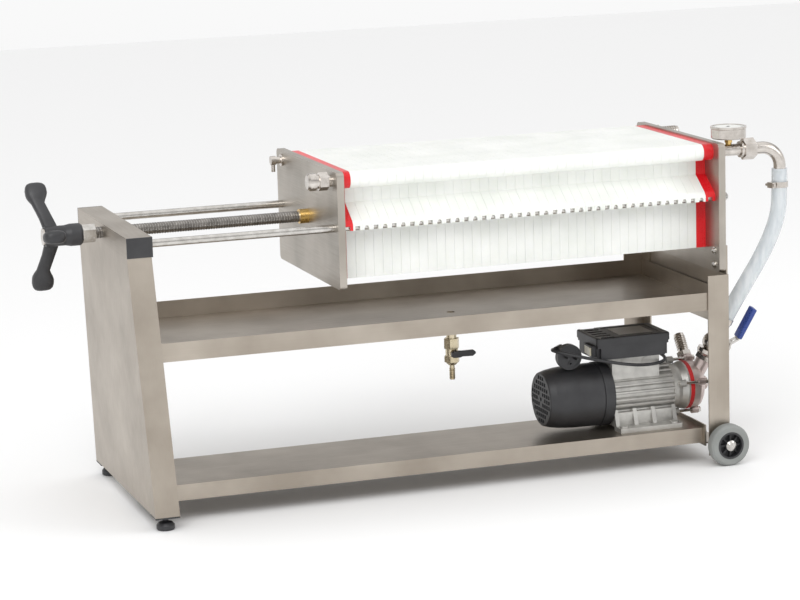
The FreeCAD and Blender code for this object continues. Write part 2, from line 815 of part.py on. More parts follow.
# ---------------------------------------------------------------- wheels
def make_wheel(side, name):
    """Grey tyre on a black spoked hub, turning on its own bolt."""
    inner = S.post_half + S.wheel_clear
    r = S.wheel_radius
    hub_r = S.hub_radius
    wide = S.wheel_wide
    tyre = new_body(f"{name}_tyre")
    ring = [(0, hub_r), (0, r - 5), (3, r - 1), (6, r), (wide - 6, r), (wide - 3, r - 1),
            (wide, r - 5), (wide, hub_r)]
    outline = sketch_on(tyre, "YZ_Plane", [ring])
    spin(tyre, outline, "H_Axis")
    hub = new_body(f"{name}_hub")
    bore = S.axle_radius + S.running_gap
    dish = [
        (-S.wheel_clear + S.seat_gap, bore), (-S.wheel_clear + S.seat_gap, bore + 6), (4, bore + 6),
        (6, hub_r - 4), (0, hub_r - 4), (0, hub_r), (wide, hub_r), (wide, hub_r - 4),
        (12, hub_r - 4), (12, bore + 6), (wide - 2, bore + 6), (wide - 2, bore),
    ]
    face = sketch_on(hub, "YZ_Plane", [dish])
    spin(hub, face, "H_Axis")
    rib = sketch_on(hub, "YZ_Plane",
                    [[(11, bore + 5), (wide - 3, bore + 5), (wide - 6, hub_r - 3), (11, hub_r - 3)]], -1)
    rib_pad = pad(hub, rib, 2)
    around(hub, [rib_pad], 8, face)
    for body, label in ((tyre, f"{name}_tyre"), (hub, f"{name}_hub")):
        turn = Rotation() if side > 0 else Rotation(AXIS_Z, 180)
        place(body, wheel_x, inner * side, S.wheel_radius, turn)
        node(body, label)


def make_wheel_bolts():
    """Bolts that carry the wheels on the posts' webs."""
    bolts = []
    for side in (-1, 1):
        body = new_body(f"bolt_{'near' if side < 0 else 'far'}")
        web = S.post_half - S.post_thick
        out = S.post_half + S.wheel_clear + S.wheel_wide
        r = S.axle_radius
        nut = r + 2.6
        profile = [(web - bolt_inside, 0), (web - bolt_inside, r), (web - 8, r), (web - 8, nut),
                   (web, nut), (web, r), (out - 1.8, r), (out - 1.8, r + 6), (out + 1, r + 6),
                   (out + 4, r + 2), (out + 5, 0)]
        outline = sketch_on(body, "YZ_Plane", [profile])
        spin(body, outline, "H_Axis")
        turn = Rotation() if side > 0 else Rotation(AXIS_Z, 180)
        place(body, wheel_x, 0, S.wheel_radius, turn)
        bolts.append(body)
    node(group("wheel_bolts", *bolts), "wheel_bolts")


# ---------------------------------------------------------------- pump
motor_x = S.cowl_x + S.cowl_long
bracket_x = motor_x + S.motor_long


def make_cowl():
    """Tapered fan cowl, open at the motor, with a slotted grille face."""
    body = new_body("fan_cowl")
    r = S.cowl_radius
    f = S.cowl_face
    w = S.cowl_wall
    long = S.cowl_long
    seam = long - 22
    shell = [
        (0, 0), (0, f - 3), (2, f - 1), (14, f + 2.5), (32, r - 2.5), (60, r - 0.5), (seam, r + 0.3),
        (seam, r - 0.7), (seam + 1.5, r - 0.7), (seam + 1.5, r + 1.5), (long, r + 1.5), (long, r - w),
        (60, r - 0.5 - w), (32, r - 2.5 - w), (14, f + 2.5 - w), (w + 1, f - w - 1), (w, f - w - 3),
        (w, 0),
    ]
    outline = sketch_on(body, "XZ_Plane", [shell])
    spin(body, outline, "H_Axis")
    place(body, S.cowl_x, S.pump_y, pump_z)
    # square slots on a grid, wherever a whole one fits inside the face
    pitch = float(S.slot_pitch)
    gap = pitch - float(S.slot_bar)
    limit = float(f) - 5
    slots = []
    steps = int(limit // pitch)
    for row in range(-steps, steps + 1):
        for column in range(-steps, steps + 1):
            y = column * pitch
            z = row * pitch
            corner = math.hypot(abs(y) + gap / 2, abs(z) + gap / 2)
            if corner < limit and math.hypot(y, z) > pitch * 1.2:
                slots.append(Part.makeBox(float(w) + 4, gap, gap, Vector(-2, y - gap / 2, z - gap / 2)))
    slots.append(Part.makeCylinder(4, float(w) + 4, Vector(-2, 0, 0), AXIS_X))
    tool = feature("cowl_slots", Part.makeCompound(slots), S.cowl_x, S.pump_y, pump_z)
    node(cut("fan_cowl", body, tool), "fan_cowl")


def make_motor():
    """Finned aluminium housing with the pad under the junction box."""
    body = new_body("housing_core")
    core = sketch_on(body, "YZ_Plane", [], 0, [(0, 0, S.motor_radius)])
    pad(body, core, S.motor_long)
    half = S.fin_thick / 2
    root = S.motor_radius
    tip = root + S.fin_high
    fin_outline = [(-half, root - 3), (half, root - 3), (half, tip - 2.5), (half * 0.55, tip),
                   (-half * 0.55, tip), (-half, tip - 2.5)]
    fin = sketch_on(body, "YZ_Plane", [fin_outline], 2)
    fin_pad = pad(body, fin, S.motor_long - 6)
    axis = sketch_on(body, "XZ_Plane", [rectangle(0, 0, 5, 5)])
    around(body, [fin_pad], int(float(S.fin_count)), axis)
    place(body, motor_x, S.pump_y, pump_z)
    flat_z = pump_z + S.motor_radius - 14
    pad_x = S.box_x + (S.box_long - S.pad_long) / 2 + 10
    top = box("terminal_pad", pad_x, S.pump_y - S.pad_wide / 2, flat_z,
              S.pad_long, S.pad_wide, S.box_bottom - flat_z)
    rings = []
    for i, share in enumerate((0.28, 0.72)):
        rings.append(cylinder(f"knockout_{i}", S.knockout_radius, 1.2, pad_x + S.pad_long * share,
                              S.pump_y - S.pad_wide / 2, S.box_bottom - 13, "-Y"))
    ring = cylinder("motor_end_ring", S.cowl_radius - S.cowl_wall - 0.7, 10,
                    motor_x - 10, S.pump_y, pump_z, "X")
    shield = cylinder("drive_end_ring", S.motor_radius + 4, 5, bracket_x - 5, S.pump_y, pump_z, "X")
    node(fuse("motor_casting", body, top, ring, shield, *rings), "motor_housing")


def make_motor_foot():
    """Cast foot: bolted flanges, a low saddle and four upright webs under the housing."""
    low = S.shelf_top
    half = S.foot_half
    start = motor_x + 2
    flange = 9
    pieces = []
    for side in (-1, 1):
        y0 = S.pump_y + (half - 34) * side
        y1 = S.pump_y + half * side
        near, wide = (y0, y1 - y0) if side > 0 else (y1, y0 - y1)
        pieces.append(box(f"foot_flange_{side + 1}", start, near, low, S.foot_long, wide, flange))
        for share in (0.0, 1.0):
            boss_x = start + 12 + (S.foot_long - 24) * share
            boss_y = S.pump_y + (half - 12) * side
            pieces.append(cylinder(f"foot_boss_{side + 1}_{int(share)}", 9, flange + 3,
                                   boss_x, boss_y, low))
    pieces.append(box("foot_saddle", start + 4, S.pump_y - half + 32, low + 4,
                      S.foot_long - 8, (half - 32) * 2, 30))
    web = new_body("foot_web")
    profile = [(-half + 22, flange - 1), (half - 22, flange - 1), (half - 34, 40), (34 - half, 40)]
    outline = sketch_on(web, "YZ_Plane", [profile])
    pad(web, outline, 8)
    webs = []
    for i, share in enumerate((0, 0.32, 0.64, 1)):
        link = doc.addObject("Part::Compound", f"foot_web_{i}")
        link.Links = [web]
        place(link, start + (S.foot_long - 8) * share, S.pump_y, low)
        webs.append(link)
    housing = cylinder("foot_seat", S.motor_radius + S.fin_high + S.seat_gap, S.foot_long + 20,
                       start - 10, S.pump_y, pump_z, "X")
    node(cut("cast_foot", fuse("foot_solid", *pieces, *webs), housing), "motor_foot")


def revolved_on_shaft(name, profile):
    body = new_body(name)
    outline = sketch_on(body, "XZ_Plane", [profile])
    spin(body, outline, "H_Axis")
    place(body, bracket_x, S.pump_y, pump_z)
    return body


def around_shaft(count, radius):
    """Points (y, z) from the shaft, the first one leaning up from the operator's side."""
    found = []
    for i in range(count):
        angle = math.radians(180 - float(S.tie_lean) - 360 * i / count)
        found.append((radius * math.cos(angle), radius * math.sin(angle)))
    return found


def make_pump():
    """Bracket flange, red gasket, pump cover and the tie bolts on the shaft's line."""
    bracket = revolved_on_shaft("bracket_turned", [
        (0, 0), (0, 47), (5, 47), (7, 44), (14, 43.5), (20, 45.5), (26, 47.5), (30, 47.5), (30, 0)])
    gasket = revolved_on_shaft("pump_gasket", [(30, 0), (30, 48), (38, 48), (38, 0)])
    node(gasket, "pump_gasket")
    cover = revolved_on_shaft("cover_turned", [
        (38, 0), (38, 47.5), (52, 47.5), (58, 45), (62.5, 39), (64.5, 30), (65, 15), (70, 15),
        (71, 13.5), (80, 13.5), (83, 11), (83, 0)])
    far_boss = feature("far_boss", Part.makeCylinder(13.5, FAR_REACH, Vector(0, 0, 0), FAR_AIM),
                       bracket_x + 54, S.pump_y, pump_z)
    near_boss = feature("near_boss", Part.makeCylinder(15, 38, PORT_AIM * 8, PORT_AIM),
                        bracket_x + 50, S.pump_y - 12, pump_z + 12)
    spots = around_shaft(4, float(S.lug_circle))
    lugs = {"bracket": (3, 13), "cover": (44, 14)}
    fused = {"bracket": [bracket], "cover": [cover, far_boss, near_boss]}
    for owner, (start, long) in lugs.items():
        for i, (y, z) in enumerate(spots):
            fused[owner].append(cylinder(f"{owner}_lug_{i}", S.tie_radius + 4, long,
                                         bracket_x + start, S.pump_y + y, pump_z + z, "X"))
    for owner, label in (("bracket", "pump_bracket"), ("cover", "pump_cover")):
        holes = [cylinder(f"{owner}_hole_{i}", S.tie_radius + S.running_gap, 70, bracket_x,
                          S.pump_y + y, pump_z + z, "X") for i, (y, z) in enumerate(spots)]
        node(cut(f"{owner}_casting", fuse(f"{owner}_solid", *fused[owner]), *holes), label)
    bolts = []
    for i, (y, z) in enumerate(spots):
        shank = cylinder(f"tie_shank_{i}", S.tie_radius, 58, bracket_x + 1, S.pump_y + y, pump_z + z, "X")
        head = hexagon(f"tie_head_{i}", 10, 5, bracket_x + 58, S.pump_y + y, pump_z + z, "X")
        bolts.append(fuse(f"tie_bolt_{i}", shank, head))
    node(group("tie_bolts", *bolts), "tie_bolts")


FAR_AIM = Vector(0, 0.602, 0.799).normalize()
FAR_REACH = 60
PORT_AIM = Vector(0.42, -0.2, 0.885).normalize()
LEVER_AXIS = (AXIS_X - PORT_AIM * PORT_AIM.dot(AXIS_X)).normalize()


def along(origin, aim, pieces):
    """Fuse of turned pieces stacked along a line: (kind, radius, length, ...)."""
    shapes = []
    spot = Vector(origin)
    for kind, radius, long in pieces:
        if kind == "hex":
            ring = [Vector(radius * math.cos(math.pi * k / 3), radius * math.sin(math.pi * k / 3), 0)
                    for k in range(7)]
            piece = Part.Face(Part.makePolygon(ring)).extrude(Vector(0, 0, long))
            piece.Placement = Placement(spot, Rotation(AXIS_Z, aim))
        elif kind == "cone":
            piece = Part.makeCone(radius[0], radius[1], long, spot, aim)
        elif kind == "ball":
            piece = Part.makeSphere(radius, spot + aim * (long / 2))
        else:
            piece = Part.makeCylinder(radius, long, spot, aim)
        shapes.append(piece)
        spot = spot + aim * long
    return shapes[0].multiFuse(shapes[1:]).removeSplitter()


def shaft_point(x, y, z):
    return Vector(float(bracket_x) + x, float(S.pump_y) + y, float(pump_z) + z)


port_root = shaft_point(50, -12, 12)
port_start = port_root + PORT_AIM * 46
valve_mid = port_root + PORT_AIM * 85
valve_end = port_root + PORT_AIM * 118


def barbed(radius, count):
    """Pieces of a hose tail: sawtooth rings on a neck."""
    pieces = [("round", radius - 1.5, 4)]
    for _ in range(count):
        pieces.append(("cone", (radius, radius - 1.3), 5))
    return pieces + [("round", radius - 1.3, 2)]


def make_pump_fittings():
    """Hose tails, and the ball valve on the delivery port."""
    far_start = Vector(float(bracket_x) + 54, float(S.pump_y), float(pump_z)) + FAR_AIM * FAR_REACH
    suction = along(far_start, FAR_AIM, [("hex", 15.5, 9), ("round", 11, 4)] + barbed(11.5, 6))
    outlet_start = Vector(float(head_out), float(S.port_y), float(port_z))
    outlet = along(outlet_start, AXIS_X, [("round", 12, 6), ("hex", 15, 12)] + barbed(11.5, 7))
    tails = doc.addObject("Part::Feature", "tails")
    tails.Shape = Part.makeCompound([suction, outlet])
    node(tails, "hose_tails")
    valve = along(port_start, PORT_AIM, [
        ("hex", 21, 9), ("cone", (19, 22), 5), ("round", 22, 7), ("ball", 21, 36), ("hex", 18, 8),
        ("round", 12, 7)])
    neck = Part.makeCylinder(8, 27, valve_mid, LEVER_AXIS)
    stem = Part.makeCylinder(5, LEVER_LIFT - 0.3, valve_mid, LEVER_AXIS)
    body = doc.addObject("Part::Feature", "valve_body")
    body.Shape = valve.multiFuse([neck, stem]).removeSplitter()
    node(body, "ball_valve")


def make_valve_lever():
    """Cranked strap with a thick blue sleeve, lying along the pipe when the valve is open."""
    root = valve_mid + LEVER_AXIS * LEVER_LIFT
    across = LEVER_AXIS.cross(PORT_AIM)
    frame = FreeCAD.Matrix(
        PORT_AIM.x, across.x, LEVER_AXIS.x, root.x,
        PORT_AIM.y, across.y, LEVER_AXIS.y, root.y,
        PORT_AIM.z, across.z, LEVER_AXIS.z, root.z,
        0, 0, 0, 1)
    half = 8
    crank = [(-9, 0), (11, 0), (24, 11), (88, 11), (88, 14), (23, 14), (10, 3), (-9, 3)]
    corners = [Vector(x, -half, z) for x, z in crank]
    strap = Part.Face(Part.makePolygon(corners + corners[:1])).extrude(Vector(0, half * 2, 0))
    eye = Part.makeCylinder(3.5, 40, Vector(17.5, 0, -10))
    nut = Part.makeCylinder(6.5, 6)
    sleeve = Part.makeBox(65, half * 2 + 3, 9, Vector(27, -half - 1.5, 8))
    sleeve = sleeve.makeFillet(2.5, sleeve.Edges)
    shape = strap.cut(eye).multiFuse([nut, sleeve]).removeSplitter()
    shape.Placement = Placement(frame)
    lever = doc.addObject("Part::Feature", "lever")
    lever.Shape = shape
    node(lever, "valve_lever")
    print("valve lever pivot", root, "axis", LEVER_AXIS)


LEVER_LIFT = 34              # lever above the valve's axis


def make_junction_box():
    """Black box with a lipped lid, vent ribs, corner notches, gland and switch."""
    y0 = S.pump_y - S.box_wide / 2
    inset = 3
    notch = 7
    low = S.box_high - S.lid_high
    x0 = S.box_x + inset
    x1 = S.box_x + S.box_long - inset
    near = y0 + inset
    far = y0 + S.box_wide - inset
    shell = new_body("box_shell")
    outline = [(x0 + notch, near), (x1 - notch, near), (x1 - notch, near + notch), (x1, near + notch),
               (x1, far - notch), (x1 - notch, far - notch), (x1 - notch, far), (x0 + notch, far),
               (x0 + notch, far - notch), (x0, far - notch), (x0, near + notch),
               (x0 + notch, near + notch)]
    pad(shell, sketch_on(shell, "XY_Plane", [outline], S.box_bottom), low - 5)
    band = sketch_on(shell, "XY_Plane", [rectangle(x0, near, x1, far)], S.box_bottom + low - 6)
    pad(shell, band, 6)
    gland = cylinder("gland_neck", 8, 12, S.box_x + 19, far - 2, S.box_bottom + 17, "Y")
    bore = cylinder("gland_bore", S.cord_radius + 0.1, 8, S.box_x + 19, far + 2, S.box_bottom + 17, "Y")
    frame = box("switch_frame", x0 - 9, near + 10, S.box_bottom + 5, 12, 42, 22)
    well = box("switch_well", x0 - 10, near + 13, S.box_bottom + 8, 8, 36, 16)
    node(cut("box_moulding", fuse("box_solid", shell, gland, frame), bore, well), "junction_box")
    rocker = new_body("rocker")
    tilt = [(x0 - 12, near + 13.3), (x0 - 9.5, near + 31), (x0 - 8.5, near + 48.7),
            (x0 - 2, near + 48.7), (x0 - 2, near + 13.3)]
    pad(rocker, sketch_on(rocker, "XY_Plane", [tilt], S.box_bottom + 8.3), 15.4)
    node(rocker, "rocker_switch")
    lid = new_body("box_lid")
    cover = sketch_on(lid, "XY_Plane", [rectangle(S.box_x, y0, S.box_x + S.box_long, y0 + S.box_wide)],
                      S.box_bottom + low)
    pad(lid, cover, S.lid_high)
    top = float(S.box_bottom + S.box_high)
    round_edges(lid, 6, lambda edge: runs_along(edge, AXIS_Z))
    round_edges(lid, 3, lambda edge: abs(edge.BoundBox.ZMin - top) < 0.01)
    grooves = []
    for i in range(6):
        grooves.append(box(f"vent_groove_{i}", S.box_x + 7, S.pump_y + S.vent_pitch * (i - 2.5) - 4,
                           top - 1.6, S.vent_long, 8, 4))
    plate = box("plate_recess", S.box_x + 46, y0 + 12, top - 0.8, S.box_long - 62, S.box_wide - 24, 4)
    node(cut("lid_moulding", lid, plate, *grooves), "junction_box_lid")


# ---------------------------------------------------------------- inlet pipework
pipe_end = head_out + 48
elbow_x = pipe_end + 33 + 15 + S.elbow_radius


def tube_along(points, radius, bend):
    """A round bar through points, with tangent arcs of one radius at the turns."""
    edges = []
    start = points[0]
    for i in range(1, len(points) - 1):
        before = (points[i - 1] - points[i]).normalize()
        after = (points[i + 1] - points[i]).normalize()
        half = before.getAngle(after) / 2
        back = bend[i - 1] / math.tan(half)
        first = points[i] + before * back
        last = points[i] + after * back
        middle = (before + after).normalize()
        centre = points[i] + middle * (bend[i - 1] / math.sin(half))
        crest = centre - middle * bend[i - 1]
        edges.append(Part.LineSegment(start, first).toShape())
        edges.append(Part.Arc(first, crest, last).toShape())
        start = last
    edges.append(Part.LineSegment(start, points[-1]).toShape())
    path = Part.Wire(edges)
    aim = (points[1] - points[0]).normalize()
    ring = Part.Wire([Part.Circle(points[0], aim, radius).toShape()])
    return path.makePipeShell([ring], True, False), path


def make_inlet():
    """Inlet pipe with its union nut, elbow and gauge."""
    y = -S.port_y
    pipe = cylinder("inlet_pipe", S.pipe_radius, pipe_end - head_out, head_out, y, port_z, "X")
    node(pipe, "inlet_pipe")
    nut = fuse("union_nut",
               hexagon("union_hex", 37, 24, pipe_end + 6, y, port_z, "X"),
               cylinder("union_collar", 16, 6, pipe_end, y, port_z, "X"),
               cylinder("union_rear", 14, 3, pipe_end + 30, y, port_z, "X"))
    node(nut, "union_nut")
    start = Vector(float(pipe_end) + 33, float(y), float(port_z))
    corner = Vector(float(elbow_x), float(y), float(port_z))
    end = corner - Vector(0, 0, float(S.elbow_radius) + 5)
    elbow, path = tube_along([start, corner, end], float(S.pipe_radius) + 0.5, [float(S.elbow_radius)])
    obj = doc.addObject("Part::Feature", "inlet_elbow")
    obj.Shape = elbow
    node(obj, "inlet_elbow")
    stem_x = head_out + S.gauge_x
    stem_z = port_z + S.pipe_radius
    stem = fuse("stem_turned",
                cylinder("stem_round", 6, 8, stem_x, y, stem_z),
                hexagon("stem_hex", 14, 8, stem_x, y, stem_z + 4))
    saddle = cylinder("stem_saddle", S.pipe_radius, 40, stem_x - 20, y, port_z, "X")
    node(cut("gauge_stem", stem, saddle), "gauge_stem")
    gauge = new_body("pressure_gauge")
    g = S.gauge_radius
    case = [(0, 0), (g - 2, 0), (g, 2), (g, S.gauge_high - 5), (g + 1, S.gauge_high - 4),
            (g + 1, S.gauge_high), (g - 3, S.gauge_high), (g - 3, S.gauge_high - 3), (0, S.gauge_high - 3)]
    outline = sketch_on(gauge, "XZ_Plane", [case])
    spin(gauge, outline, "V_Axis")
    place(gauge, stem_x, y, stem_z + 12)
    node(gauge, "pressure_gauge")


def hose_clamp(spot, aim, radius, screw_side):
    """Worm-drive band with its housing and screw."""
    band = Part.makeCylinder(radius + 1.2, 11, spot, aim)
    bore = Part.makeCylinder(radius + 0.2, 40, spot - aim * 10, aim)
    out = (screw_side - aim * screw_side.dot(aim)).normalize()
    side = aim.cross(out)
    housing = Part.makeBox(9, 15, 11)
    housing.Placement = Placement(spot + out * (radius + 0.8) - side * 7.5, Rotation(out, side, aim, "ZXY"))
    screw = Part.makeCylinder(3.2, 24, spot + out * (radius + 6) - side * 10 + aim * 5.5, side)
    return band.multiFuse([housing, screw]).cut(bore).removeSplitter()


def make_hose():
    """Clear hose from the elbow down to the ball valve."""
    y = float(-S.port_y)
    top = Vector(float(elbow_x), y, float(port_z) - float(S.elbow_radius) - 5)
    radius = float(S.hose_radius)
    points = [
        top, Vector(717, y, 522), Vector(714, -159.5, 478), Vector(698, -157.5, 433),
        Vector(676, -153.5, 389), Vector(648, -147, 342), valve_end + PORT_AIM * 38, valve_end,
    ]
    hose, path = tube_along(points, radius, fair_bends(points))
    describe("clear hose", hose, path, radius)
    obj = doc.addObject("Part::Feature", "hose")
    obj.Shape = hose
    node(obj, "clear_hose")
    clamps = [
        hose_clamp(top + Vector(0, 0, -26), Vector(0, 0, -1), radius, Vector(-1, -0.3, 0)),
        hose_clamp(valve_end + PORT_AIM * 12, PORT_AIM, radius, Vector(-1, 0.2, 0)),
    ]
    obj = doc.addObject("Part::Feature", "clamps")
    obj.Shape = Part.makeCompound(clamps)
    node(obj, "hose_clamps")


def fair_bends(points):
    """The largest arc that each turn of a route has room for."""
    bends = []
    for i in range(1, len(points) - 1):
        before = points[i] - points[i - 1]
        after = points[i + 1] - points[i]
        shorter = min(before.Length, after.Length)
        bends.append(0.45 * shorter / math.tan(before.getAngle(after) / 2))
    print("radii", [round(value) for value in bends])
    return bends


def describe(name, solid, path, radius):
    ideal = math.pi * radius ** 2 * path.Length
    print(name, "length", round(path.Length, 1), "volume ratio", round(solid.Volume / ideal, 4))


def make_power_cord():
    """Mains lead from the box's gland, round the terminal pad to the plug on the cowl."""
    points = [
        Vector(350, -40, 232), Vector(350, -20, 232), Vector(360, -2.7, 230.5), Vector(377.3, 7.3, 227),
        Vector(397.3, 8, 222), Vector(420, 5, 217), Vector(442, -3, 213), Vector(462, -17, 209.5),
        Vector(478, -36, 207), Vector(489, -58, 205), Vector(493, -82, 203), Vector(492, -105, 201),
        Vector(483, -127, 200), Vector(465, -143, 199), Vector(441, -150.5, 199),
        Vector(415, -153, 200.5), Vector(388, -154, 205), Vector(361, -155, 211),
        Vector(335, -156, 217.5), Vector(310, -156.5, 224), Vector(285, -156.8, 231.5),
        Vector(261.1, -156, 238.5), Vector(245.9, -140.8, 241), Vector(245.9, -119.2, 240.5),
        Vector(261.1, -104, 238),
    ]
    radius = float(S.cord_radius)
    cord, path = tube_along(points, radius, fair_bends(points))
    describe("power cord", cord, path, radius)
    obj = doc.addObject("Part::Feature", "cord")
    obj.Shape = cord
    node(obj, "power_cord")
    x = float(S.plug_x)
    face = float(S.plug_face)
    disc = float(S.plug_radius)
    deep = 14
    aside = float(S.pump_y) - face - deep
    seat = math.sqrt(float(S.cowl_radius - 1) ** 2 - aside ** 2)
    z = float(pump_z) + seat + disc + float(S.seat_gap)
    body = Part.makeCylinder(disc, deep, Vector(x, face, z), AXIS_Y)
    back = Part.makeCylinder(17, 16, Vector(x, face + deep, z + 2), AXIS_Y)
    back = back.fuse(Part.makeCone(17, 11, 14, Vector(x, face + deep + 16, z + 2), AXIS_Y))
    aim = (points[-1] - points[-2]).normalize()
    relief = Part.makeCone(radius + 1, radius + 4, 26, points[-1], aim)
    rim = Part.makeCylinder(disc - 3.5, 1.5, Vector(x, face - 0.5, z), AXIS_Y)
    pins = [Part.makeCylinder(2.4, 19, Vector(x + dx, face - 18, z + dz), AXIS_Y)
            for dx, dz in ((-9.5, 1), (9.5, -2.5))]
    earth = Part.makeCylinder(4.5, 2.5, Vector(x + 1.5, face - 0.5, z - 12.5), AXIS_Y)
    hole = Part.makeCylinder(2, 6, Vector(x + 1.5, face - 1, z - 12.5), AXIS_Y)
    shape = body.cut(rim).multiFuse([back, relief, earth] + pins).cut(hole).removeSplitter()
    obj = doc.addObject("Part::Feature", "mains_plug")
    obj.Shape = shape
    node(obj, "plug")


# ---------------------------------------------------------------- drain valve
def make_drain():
    """Small brass ball valve under the tray, with its lever and hose tail."""
    spot = Vector(float(S.drain_x), 0, float(S.tray_bottom))
    down = Vector(0, 0, -1)
    bore = float(S.drain_bore)
    body = along(spot, down, [
        ("round", bore + 2, 50), ("hex", 15.5, 20), ("round", 12.5, 15), ("hex", 15.5, 12),
        ("cone", (14, 8), 6), ("round", 5, 7)] + [("cone", (6, 5), 4.5)] * 5)
    pivot = spot + down * 78
    gland = Part.makeCylinder(7.2, 17, pivot, Vector(0, -1, 0))
    stem = Part.makeCylinder(4, 20, pivot, Vector(0, -1, 0))
    obj = doc.addObject("Part::Feature", "drain_body")
    obj.Shape = body.multiFuse([gland, stem]).removeSplitter()
    node(obj, "drain_valve")
    grip = [(-9, -4), (-6, -6.5), (8, -6.5), (12, -5), (34, -5.5), (40, -1), (40, 2), (36, 6),
            (12, 6), (8, 6.5), (-6, 6.5), (-9, 4)]
    corners = [Vector(x, 0, z) for x, z in grip]
    lever = Part.Face(Part.makePolygon(corners + corners[:1])).extrude(Vector(0, 9, 0))
    lever = lever.makeFillet(1.2, lever.Edges)
    lever.translate(pivot + Vector(0, -29.3, 0))
    obj = doc.addObject("Part::Feature", "drain_grip")
    obj.Shape = lever
    node(obj, "drain_lever")


make_crossbar()
make_crossbar_caps()
make_leg(-1, "near_left_leg")
make_leg(1, "far_left_leg")
make_left_panel()
make_levelling_feet()
make_post(-1, "near_right_post")
make_post(1, "far_right_post")
make_end_panel()
rail_between("tray_rail", rail_x + 12, S.tray_bottom - 20, 20 - S.seat_gap, "high")
rail_between("base_rail", rail_x, S.shelf_top + 8 - S.rail_high, S.rail_high, "low", bolt_inside + 3)
make_tray()
make_shelf()
make_rods()
end_plate("head_plate", S.face_x, S.head_bottom, S.rod_radius)
end_plate("press_plate", press_x, S.press_bottom, S.rod_radius + S.running_gap)
make_pack()
make_press_fittings()
make_screw()
make_handle()
make_wheel(-1, "near_wheel")
make_wheel(1, "far_wheel")
make_wheel_bolts()
make_cowl()
make_motor()
make_motor_foot()
make_pump()
make_pump_fittings()
make_valve_lever()
make_junction_box()
make_inlet()
make_hose()
make_power_cord()
make_drain()

# ---------------------------------------------------------------- checks and files
doc.recompute()
for obj in doc.Objects:
    if "Invalid" in obj.State or "Error" in obj.State:
        raise RuntimeError(f"{obj.Name} failed: {obj.State}")
os.makedirs("parts", exist_ok=True)
low = Vector(1e9, 1e9, 1e9)
high = Vector(-1e9, -1e9, -1e9)
for obj in PARTS:
    if obj.Shape.isNull() or not obj.Shape.isValid():
        raise RuntimeError(f"{obj.Label} has no valid shape")
    obj.Shape.exportStep(f"parts/{obj.Label}.step")
    limits = obj.Shape.BoundBox
    low = Vector(min(low.x, limits.XMin), min(low.y, limits.YMin), min(low.z, limits.ZMin))
    high = Vector(max(high.x, limits.XMax), max(high.y, limits.YMax), max(high.z, limits.ZMax))
print(len(PARTS), "nodes, from", low, "to", high)
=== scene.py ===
import json
import math

import bmesh
import bpy
from mathutils import Matrix, Vector


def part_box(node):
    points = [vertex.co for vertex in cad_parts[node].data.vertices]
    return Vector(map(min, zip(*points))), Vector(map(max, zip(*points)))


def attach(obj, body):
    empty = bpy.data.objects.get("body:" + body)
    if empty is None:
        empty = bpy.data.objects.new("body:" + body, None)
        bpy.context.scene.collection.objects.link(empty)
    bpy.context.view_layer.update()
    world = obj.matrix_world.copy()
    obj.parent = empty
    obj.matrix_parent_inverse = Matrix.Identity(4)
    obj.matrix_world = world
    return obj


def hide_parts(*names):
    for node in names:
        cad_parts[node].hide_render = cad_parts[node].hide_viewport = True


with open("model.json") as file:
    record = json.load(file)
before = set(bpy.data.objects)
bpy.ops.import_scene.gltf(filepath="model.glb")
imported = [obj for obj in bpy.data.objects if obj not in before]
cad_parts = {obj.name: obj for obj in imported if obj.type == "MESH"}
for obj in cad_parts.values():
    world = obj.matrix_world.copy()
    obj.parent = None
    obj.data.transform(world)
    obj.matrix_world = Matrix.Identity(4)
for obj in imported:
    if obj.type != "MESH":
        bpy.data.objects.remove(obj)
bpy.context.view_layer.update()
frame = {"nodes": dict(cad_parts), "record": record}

# axes and sizes of the CAD model that the small pieces line up with, in metres
SCREW_RADIUS = 0.010
SCREW_HEIGHT = 0.522
LEVER_PIVOT = (0.61956128, -0.11885486, 0.21130774)
PORT_AIM = (0.420079, -0.200038, 0.885166)
LEVER_AXIS = (0.90748764, 0.09259797, -0.40974601)
HOSE_RADIUS = 0.0155
CORD_RADIUS = 0.0032


# ---------------------------------------------------------------- camera
IMAGE_WIDTH = 800
FOCAL_PIXELS = 2838
SENSOR_WIDTH = 36


def make_camera():
    """Long lens from the operator's side, turned towards the pump end."""
    azimuth = math.radians(18.37)
    elevation = math.radians(10.75)
    roll = math.radians(-1.68)
    place = Vector((-1.7267, -5.1402, 1.3702))
    look = Vector((math.sin(azimuth) * math.cos(elevation),
                   math.cos(azimuth) * math.cos(elevation), -math.sin(elevation)))
    right = look.cross(Vector((0, 0, 1))).normalized()
    up = right.cross(look)
    right_rolled = right * math.cos(roll) + up * math.sin(roll)
    up_rolled = up * math.cos(roll) - right * math.sin(roll)
    data = bpy.data.cameras.new("camera")
    data.sensor_width = SENSOR_WIDTH
    data.lens = FOCAL_PIXELS / IMAGE_WIDTH * SENSOR_WIDTH
    camera = bpy.data.objects.new("camera", data)
    turn = Matrix((right_rolled, up_rolled, -look)).transposed().to_4x4()
    camera.matrix_world = Matrix.Translation(place) @ turn
    bpy.context.scene.collection.objects.link(camera)
    bpy.context.scene.camera = camera


make_camera()


# ---------------------------------------------------------------- node helpers
def new_material(name, colour, roughness, metallic=0.0):
    """A material with its node tree and its shader."""
    material = bpy.data.materials.new(name)
    material.use_nodes = True
    shader = material.node_tree.nodes["Principled BSDF"]
    shader.inputs["Base Color"].default_value = (*colour, 1)
    shader.inputs["Roughness"].default_value = roughness
    shader.inputs["Metallic"].default_value = metallic
    return material, material.node_tree, shader


